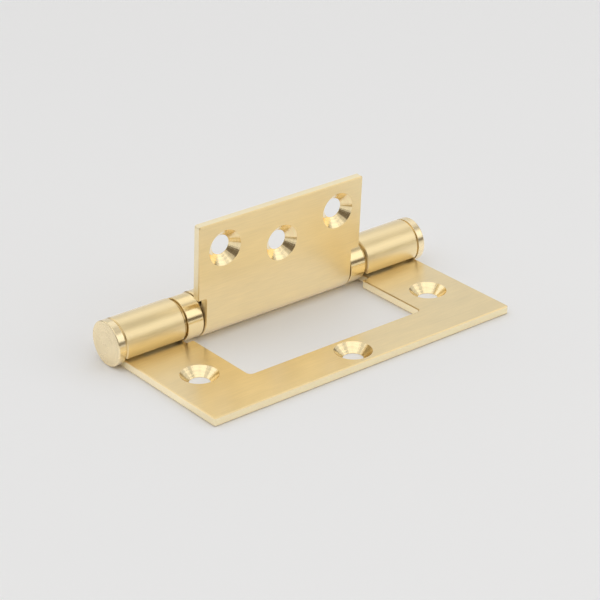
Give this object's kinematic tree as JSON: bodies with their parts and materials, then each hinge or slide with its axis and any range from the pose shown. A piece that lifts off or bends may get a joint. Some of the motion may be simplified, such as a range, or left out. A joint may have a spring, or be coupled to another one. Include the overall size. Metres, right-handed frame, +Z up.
{
  "type": "ball bearing hinge",
  "caption": "Flush door hinge in satin brass: a narrow leaf folds into the window of a U-shaped leaf and turns on a fixed pin with a ball bearing at each end of its knuckle.",
  "frame": {"origin": "on the plane of the outer leaf's underside, straight below the middle of the pin axis", "axes": "+X along the pin, +Z up through the outer leaf towards its screw heads, -Y from the pin to the outer leaf's free edge; the pin axis is 6.3 mm above the origin"},
  "size_m": [0.1052, 0.05, 0.0351],
  "materials": {
    "satin_brass": "fine linear brushing along the pin, satin",
    "polished_brass": "turned and polished",
    "race_brass": "turned",
    "cage_brass": "pressed and tumbled",
    "pin_steel": "ground",
    "ball_steel": "polished"
  },
  "bodies": {
    "outer": {"outer_leaf": "satin_brass", "hinge_pin": "pin_steel", "left_end_cap": "satin_brass", "right_end_cap": "satin_brass", "left_outer_race": "race_brass", "right_outer_race": "race_brass"},
    "inner": {"inner_leaf": "satin_brass", "left_bearing_sleeve": "polished_brass", "right_bearing_sleeve": "polished_brass", "left_inner_race": "race_brass", "right_inner_race": "race_brass"},
    "left_ball_set": {"left_ball_cage": "cage_brass", "left_ball_01": "ball_steel", "left_ball_02": "ball_steel", "left_ball_03": "ball_steel", "left_ball_04": "ball_steel", "left_ball_05": "ball_steel", "left_ball_06": "ball_steel", "left_ball_07": "ball_steel", "left_ball_08": "ball_steel"},
    "right_ball_set": {"right_ball_cage": "cage_brass", "right_ball_01": "ball_steel", "right_ball_02": "ball_steel", "right_ball_03": "ball_steel", "right_ball_04": "ball_steel", "right_ball_05": "ball_steel", "right_ball_06": "ball_steel", "right_ball_07": "ball_steel", "right_ball_08": "ball_steel"}
  },
  "joints": [
    {"name": "leaf_swing", "type": "hinge", "parent": "outer", "child": "inner", "pos_m": [0, 0, 0.0063], "axis": [1, 0, 0], "range_deg": [-183.4, 86.6]},
    {"name": "left_balls_turn", "type": "hinge", "parent": "outer", "child": "left_ball_set", "pos_m": [-0.02753, 0, 0.0063], "axis": [1, 0, 0], "range_deg": [-91.7, 43.3]},
    {"name": "right_balls_turn", "type": "hinge", "parent": "outer", "child": "right_ball_set", "pos_m": [0.02753, 0, 0.0063], "axis": [1, 0, 0], "range_deg": [-91.7, 43.3]}
  ],
  "couplings": [
    {"joint": "left_balls_turn", "follows": "leaf_swing", "ratio": 0.5},
    {"joint": "right_balls_turn", "follows": "leaf_swing", "ratio": 0.5}
  ]
}
